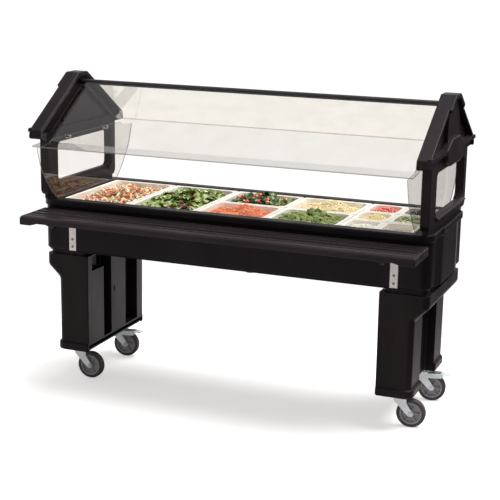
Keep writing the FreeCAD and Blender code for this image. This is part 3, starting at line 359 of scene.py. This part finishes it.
pasta = foodstuff("pasta_cooked", "#f5d6a2", "#fdeed2", 0.004, 0.35, 0.0004, 0.5, 0.2)
red_pepper = foodstuff("pepper_red", "#d23a26", "#f2643e", 0.006, 0.25, 0.0003, 0.6)
herb = foodstuff("herb_green", "#4d6b25", "#7d9a3c", 0.004, 0.45, 0.0003)
lettuce = foodstuff("lettuce_light_green", "#6a8a36", "#bfcc86", 0.008, 0.42, 0.0008, 0.3, 0.15)
red_leaf = foodstuff("lettuce_red", "#3d1216", "#7a2a2c", 0.008, 0.42, 0.0008)
dark_leaf = foodstuff("spinach_dark", "#1f3a17", "#3f6327", 0.008, 0.38, 0.0006, 0.4)
broccoli = foodstuff("broccoli_buds", "#566b30", "#a3b06c", 0.0015, 0.7, 0.0008, 0.05)
carrot = foodstuff("carrot_grated", "#fb8a52", "#ffc4a0", 0.003, 0.4, 0.0003, 0.3, 0.2)
cheese = foodstuff("cheese_grated", "#ffe6b0", "#fff6dd", 0.003, 0.42, 0.0003, 0.1, 0.2)
tomato = foodstuff("tomato_diced", "#cc3a2a", "#f07a5e", 0.005, 0.2, 0.0004, 0.8, 0.1)
egg = foodstuff("egg_and_corn", "#f0cf5c", "#fbf3dc", 0.003, 0.4, 0.0003, 0.2, 0.2)
curd = foodstuff("cottage_curd", "#efe6d2", "#fdf9ef", 0.004, 0.3, 0.0004, 0.5, 0.3)
olive = foodstuff("olive_black", "#141012", "#2e2527", 0.004, 0.22, 0.0002, 0.8)
cucumber = foodstuff("cucumber_cut", "#8f9c55", "#e6e6bd", 0.003, 0.3, 0.0003, 0.5, 0.2)
dressing = foodstuff("dressing_creamy", "#ead9b6", "#f7ecd2", 0.012, 0.25, 0.0008, 0.6, 0.2)

heap("full_pan_1", "pasta_salad", pasta,
     [(lambda r: spiral_pasta(r, 0.034, 0.012), pasta, 6, 0.002),
      (lambda r: shred(r, 0.042, 0.010, 0.005), red_pepper, 2.6, 0.006),
      (lambda r: leaf(r, 0.02, 0.012, 0.1), herb, 1.2, 0.006)], -0.034, 0.034, 0.017)
heap("full_pan_2", "mixed_greens", dark_leaf,
     [(lambda r: leaf(r, 0.07, 0.045, 0.09), lettuce, 5, 0.006),
      (lambda r: leaf(r, 0.06, 0.035, 0.07), red_leaf, 1.6, 0.008),
      (lambda r: leaf(r, 0.05, 0.03, 0.08), dark_leaf, 1.5, 0.006)], -0.036, 0.036, 0.024)
heap("half_pan_3_rear", "leaves_and_tomato", dark_leaf,
     [(lambda r: leaf(r, 0.05, 0.035, 0.08), dark_leaf, 4, 0.005),
      (lambda r: floret(r, 0.032), broccoli, 1.5, 0.006),
      (lambda r: lump(r, 0.022, 0.9, 0.05), tomato, 0.9, 0.008)], -0.032, 0.034, 0.022)
heap("half_pan_3_front", "grated_carrot", carrot,
     [(lambda r: shred(r, 0.03, 0.0032, 0.0022), carrot, 1, 0.003)], -0.030, 0.034, 0.0085)
heap("half_pan_4_rear", "grated_cheese", cheese,
     [(lambda r: shred(r, 0.026, 0.0036, 0.0026), cheese, 1, 0.003)], -0.030, 0.034, 0.0085)
heap("half_pan_4_front", "broccoli_florets", broccoli,
     [(lambda r: floret(r, 0.036), broccoli, 1, 0.004)], -0.034, 0.034, 0.026)
heap("sixth_pan_rear_left", "diced_tomato", tomato,
     [(lambda r: lump(r, 0.013, 0.8, 0.14), tomato, 1, 0.002)], -0.022, 0.018, 0.0105)
heap("sixth_pan_middle_left", "chopped_egg", egg,
     [(lambda r: lump(r, 0.009, 0.8, 0.12), egg, 1, 0.001)], -0.022, 0.018, 0.008)
heap("sixth_pan_front_left", "cottage_cheese", curd,
     [(lambda r: lump(r, 0.008, 0.7, 0.1), curd, 1, 0.0)], -0.020, 0.012, 0.0075)
heap("sixth_pan_rear_right", "olive_rings", olive,
     [(lambda r: slice_ring(r, 0.015, 0.45, 0.0045), olive, 1, 0.002)], -0.022, 0.018, 0.011)
heap("sixth_pan_middle_right", "cucumber_slices", cucumber,
     [(lambda r: slice_ring(r, 0.034, 0.02, 0.004), cucumber, 1, 0.004)], -0.024, 0.020, 0.016)
heap("sixth_pan_front_right", "creamy_dressing", dressing,
     [(lambda r: lump(r, 0.004, 0.6, 0.1, 6, 3), herb, 1, -0.0055)], -0.020, 0.006, 0.017, 1)

# ---------------------------------------------------------------------------------------------
# The pedestal legs: the same black polyethylene, drawn up and down by the mould so that its drift of tone
# runs upright, with steel plates inside their feet coloured near black as painted shade, and zinc-plated leg
# bolts.
# ---------------------------------------------------------------------------------------------
leg_skin = moulded_polyethylene("rotomoulded_polyethylene_black_leg", "#120e0f", "#211a1b", 0.40,
                                (1.0, 1.0, 0.3))
coat(["left_leg", "right_leg"], leg_skin)
# Painted shade: the base plates are coloured near black so that, seen through the leg's openings, they stay
# as dark as its shaded inside.
coat(["leg_base_plates"], worked_surface("steel_plate_painted_shade", "#0d0c0c", "#1c1a1a", 0.003, 0.5, 0.0001))
zinc_bolt = worked_surface("steel_bolt_zinc_plated", "#a9b3b8", "#dfe5e8", 0.002, 0.34, 0.00005, 0.85)
coat(["leg_bolts"], zinc_bolt)

# ---------------------------------------------------------------------------------------------
# The casters: pressed forks and top plates, bright zinc with the faint blue mottle of plating,
# ribbed grey nylon hubs and soft dark grey tyres with a dusty tread; the rear two have brakes.
# ---------------------------------------------------------------------------------------------
corners = ["front_left", "front_right", "rear_left", "rear_right"]
zinc_plate = worked_surface("steel_pressed_zinc_plated", "#d8e0e3", "#fbfdfe", 0.009, 0.4, 0.00008, 0.35)
coat(["caster_top_plates", "caster_bolts"], zinc_bolt)
coat(["caster_fork_" + c for c in corners], zinc_plate)
coat(["caster_axle_" + c for c in corners], zinc_bolt)
coat(["brake_pedal_rear_left", "brake_pedal_rear_right"], zinc_plate)
coat(["caster_hub_" + c for c in corners],
     worked_surface("nylon_moulded_grey", "#777376", "#9b979a", 0.005, 0.42, 0.0001))
coat(["caster_tyre_" + c for c in corners],
     worked_surface("rubber_soft_dark_grey", "#2a2627", "#474142", 0.003, 0.62, 0.0003))

# ---------------------------------------------------------------------------------------------
# The house-shaped end panels and the ridge bar between them. The panels are the tub's black polyethylene, a
# little paler, whose tone is drawn into streaks that run lengthwise on the roof slopes: painted highlight
# streaks; bolts and bar are satin black steel.
# ---------------------------------------------------------------------------------------------
# Painted highlight: the paler tone, stretched into streaks along the slopes, stands for the sheen streaks on
# the roof slopes.
panel_skin = moulded_polyethylene("rotomoulded_polyethylene_black_panel", "#120e0f", "#2a2226", 0.36,
                                  (3.0, 0.5, 0.5))
coat(["left_house_panel", "right_house_panel"], panel_skin)
coat(["ridge_bar", "end_panel_bolts"],
     worked_surface("steel_black_satin", "#0f0e0e", "#211f1f", 0.004, 0.38, 0.0001, 0.0, (0.1, 1.0, 1.0)))


# ---------------------------------------------------------------------------------------------
# The food shield: two sloping panes and two end shields of clear polished acrylic. The faces mirror by their
# angle and show a faint haze of wiping; the sawn edges are grey, partly for their frosting and partly as
# painted reflection of darker surroundings.
# ---------------------------------------------------------------------------------------------
def clear_acrylic(name, tint, edge_axis, edge_from, edge_below):
    """Acrylic sheet. Its edges are where the normal's size along edge_axis is over, or under, edge_from."""
    material, tree = new_finish(name)
    shape = add(tree, "TexCoord")
    smear = add(tree, "TexNoise", {"Vector": shape.outputs["Object"], "Scale": 1 / 0.09, "Detail": 3.0})
    tone = two_tone(tree, smear.outputs["Fac"], tint[0], tint[1])
    through = add(tree, "BsdfTransparent", {"Color": tone})
    mirror = add(tree, "BsdfGlossy", {"Color": (1.0, 1.0, 1.0, 1.0), "Roughness": 0.02})
    # Both faces of the sheet mirror; the front one stands for the two, so the back one only lets light out.
    angle = add(tree, "Fresnel", {"IOR": 1.49})
    pair = add(tree, "MapRange", {"Value": angle.outputs[0], 1: 0.0, 2: 0.6, 3: 0.0, 4: 1.0})
    hind = add(tree, "NewGeometry").outputs["Backfacing"]
    shown = add(tree, "Mix", {0: hind, 2: pair.outputs[0], 3: 0.0})
    face = add(tree, "MixShader", {0: shown.outputs[0], 1: through.outputs[0], 2: mirror.outputs[0]})
    # The edges' grey is partly frosting and partly painted reflection: it stands for the darker things a
    # clear edge mirrors inside the sheet.
    edge_frost_and_reflection = add(tree, "BsdfDiffuse", {"Color": linear("#a9a7a2"), "Roughness": 0.5})
    lit = add(tree, "BsdfTransparent", {"Color": linear("#cfccc6")})
    edge = add(tree, "MixShader", {0: 0.45, 1: lit.outputs[0], 2: edge_frost_and_reflection.outputs[0]})
    way = add(tree, "SeparateXYZ", {"Vector": shape.outputs["Normal"]}).outputs[edge_axis]
    size = add(tree, "Math", {0: way}, operation="ABSOLUTE")
    kind = "LESS_THAN" if edge_below else "GREATER_THAN"
    is_edge = add(tree, "Math", {0: size.outputs[0], 1: edge_from}, operation=kind)
    whole = add(tree, "MixShader", {0: is_edge.outputs[0], 1: face.outputs[0], 2: edge.outputs[0]})
    add(tree, "OutputMaterial", {"Surface": whole.outputs[0]})
    return material


coat(["front_guard"], clear_acrylic("acrylic_sheet_front", ("#f3f2ef", "#f6f5f3"), "Y", 0.7, False))
coat(["rear_guard"], clear_acrylic("acrylic_sheet_rear", ("#fbfaf8", "#fefdfc"), "Y", 0.7, False))
coat(["left_end_shield", "right_end_shield"],
     clear_acrylic("acrylic_shield_clear", ("#fbfaf8", "#fdfcfb"), "X", 0.5, True))
screw_steel = worked_surface("stainless_turned", "#a9aaa9", "#dcdcda", 0.0012, 0.25, 0.00005, 1.0)
coat(["end_shield_screws", "end_shield_spacers"], screw_steel)

# ---------------------------------------------------------------------------------------------
# The fold-down tray rail, black polyethylene a little paler than the tub, whose tone drifts in streaks along
# its length. Its wall plates are stainless steel, brushed upright; its arms and hinge pins are powder-coated
# black steel.
# ---------------------------------------------------------------------------------------------
rail_skin = moulded_polyethylene("rotomoulded_polyethylene_black_rail", "#1a1517", "#332a2d", 0.34,
                                 (0.25, 1.0, 1.0))
coat(["tray_rail"], rail_skin)
bracket_steel = worked_surface("stainless_bracket_brushed", "#c2bdb6", "#f6f2ec", 0.0014, 0.45, 0.0001, 0.6,
                               (1.0, 1.0, 0.06))
coat(["rail_wall_plates"], bracket_steel)
coat(["rail_arms", "rail_hinge_pins"],
     worked_surface("steel_powder_coated_black", "#0e0c0d", "#1d191a", 0.0025, 0.5, 0.0001))
# Painted shade: the plate screws are coloured much darker than the other stainless steel, standing for the
# shadow in their recesses.
coat(["rail_plate_screws"],
     worked_surface("stainless_screw_painted_shade", "#4c4946", "#8a8680", 0.0012, 0.4, 0.0001, 1.0))

# ---------------------------------------------------------------------------------------------
# The studio: a white floor and a white surround, which are dimmer in reflections, one broad
# high sun-like lamp behind and to the right, and the camera to the right of the customer's side.
# ---------------------------------------------------------------------------------------------
tub_low, tub_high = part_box("body_shell")
EYE = Vector((2.10396, (tub_low.y + tub_high.y) / 2 - 5.29281, 2.02884))
TURN, TILT, ROLL = math.radians(21.71), math.radians(13.5225), math.radians(0.9854)
back = Vector((math.sin(TURN) * math.cos(TILT), -math.cos(TURN) * math.cos(TILT), math.sin(TILT)))
side = (-back).cross(Vector((0, 0, 1))).normalized()
above = side.cross(-back)
camera_data = bpy.data.cameras.new("camera")
camera_data.lens = 92.42
camera_data.sensor_width = 36.0
camera = bpy.data.objects.new("camera", camera_data)
bpy.context.scene.collection.objects.link(camera)
turned_side = side * math.cos(ROLL) + above * math.sin(ROLL)
turned_above = -side * math.sin(ROLL) + above * math.cos(ROLL)
pose = Matrix((turned_side, turned_above, back)).transposed().to_4x4()
pose.translation = EYE
camera.matrix_world = pose
bpy.context.scene.camera = camera

floor_mesh = bpy.data.meshes.new("floor")
REACH = 60.0
floor_mesh.from_pydata([(-REACH, -REACH, 0), (REACH, -REACH, 0), (REACH, REACH, 0), (-REACH, REACH, 0)],
                       [], [(0, 1, 2, 3)])
floor = bpy.data.objects.new("floor", floor_mesh)
bpy.context.scene.collection.objects.link(floor)
paper, tree = new_finish("matt_paper_white")
place = add(tree, "TexCoord").outputs["Object"]
grain = add(tree, "TexNoise", {"Vector": place, "Scale": 60.0, "Detail": 2.0})
depth = add(tree, "SeparateXYZ", {"Vector": place}).outputs["Y"]
# Near the cart the floor is overexposed, so only the deepest shadow shows; far off it is just white.
NEAR_Y, FAR_Y = 0.6, 1.4
far = add(tree, "MapRange", {"Value": depth, 1: NEAR_Y, 2: FAR_Y, 3: 0.0, 4: 1.0})
near_shade = two_tone(tree, grain.outputs["Fac"], "#e2e2e2", "#e6e6e6")
shade = add(tree, "Mix", {0: far.outputs[0], 6: near_shade, 7: linear("#8e8d8d")}, data_type="RGBA")
seen = add(tree, "BsdfDiffuse", {"Color": shade.outputs[2]})
lift_strength = add(tree, "MapRange", {"Value": far.outputs[0], 1: 0.0, 2: 1.0, 3: 0.48, 4: 0.60})
lift = add(tree, "Emission", {"Color": (1.0, 0.975, 0.955, 1.0), "Strength": lift_strength.outputs[0]})
bright = add(tree, "AddShader", {0: seen.outputs[0], 1: lift.outputs[0]})
# Towards the front the floor is unlit studio; behind the cart it is the lit sweep.
UNLIT_Y, LIT_Y = -0.9, 0.5
sweep = add(tree, "MapRange", {"Value": depth, 1: UNLIT_Y, 2: LIT_Y, 3: 0.0, 4: 1.0})
dim = add(tree, "Mix", {0: sweep.outputs[0], 6: linear("#b3b0b0"), 7: linear("#e6e4e2")}, data_type="RGBA")
# Beyond the right end the floor's colour for bounced light is painted dark, a painted shade standing for a
# dark flag, which keeps that end wall's sheen down.
across = add(tree, "SeparateXYZ", {"Vector": place}).outputs["X"]
DARK_PATCH_X0, DARK_PATCH_X1 = 0.95, 1.35
dark_patch_mask = add(tree, "MapRange", {"Value": across, 1: DARK_PATCH_X0, 2: DARK_PATCH_X1, 3: 0.0, 4: 1.0})
patched_bounce_colour = add(tree, "Mix", {0: dark_patch_mask.outputs[0], 6: dim.outputs[2], 7: linear("#353232")}, data_type="RGBA")
bounced = add(tree, "BsdfDiffuse", {"Color": patched_bounce_colour.outputs[2]})
ray = add(tree, "LightPath")
both = add(tree, "MixShader", {0: ray.outputs["Is Camera Ray"], 1: bounced.outputs[0], 2: bright.outputs[0]})
add(tree, "OutputMaterial", {"Surface": both.outputs[0]})
floor_mesh.materials.append(paper)

world = bpy.data.worlds.new("surround")
bpy.context.scene.world = world
world.use_nodes = True
tree = world.node_tree
tree.nodes.clear()
rise = add(tree, "SeparateXYZ", {"Vector": add(tree, "TexCoord").outputs["Generated"]}).outputs["Z"]
fade = two_tone(tree, rise, "#d2d1d2", "#b4b3b4", 0.1, 0.9)
ray = add(tree, "LightPath")
white = add(tree, "Mix", {0: ray.outputs["Is Camera Ray"], 6: fade, 7: (1.05, 1.05, 1.05, 1.0)},
            data_type="RGBA")
glow = add(tree, "Background", {"Color": white.outputs[2], "Strength": 1.0})
add(tree, "OutputWorld", {"Surface": glow.outputs[0]})

lamp_data = bpy.data.lights.new("overhead", "SUN")
LAMP_POWER, LAMP_SPREAD = 4.6, math.radians(46)
LAMP_WAY = Vector((-0.30, -0.15, -0.94))
lamp_data.energy = LAMP_POWER
lamp_data.angle = LAMP_SPREAD
lamp = bpy.data.objects.new("overhead", lamp_data)
lamp.rotation_mode = "QUATERNION"
lamp.rotation_quaternion = LAMP_WAY.to_track_quat("-Z", "Y")
bpy.context.scene.collection.objects.link(lamp)
bpy.context.scene.view_settings.view_transform = "Standard"
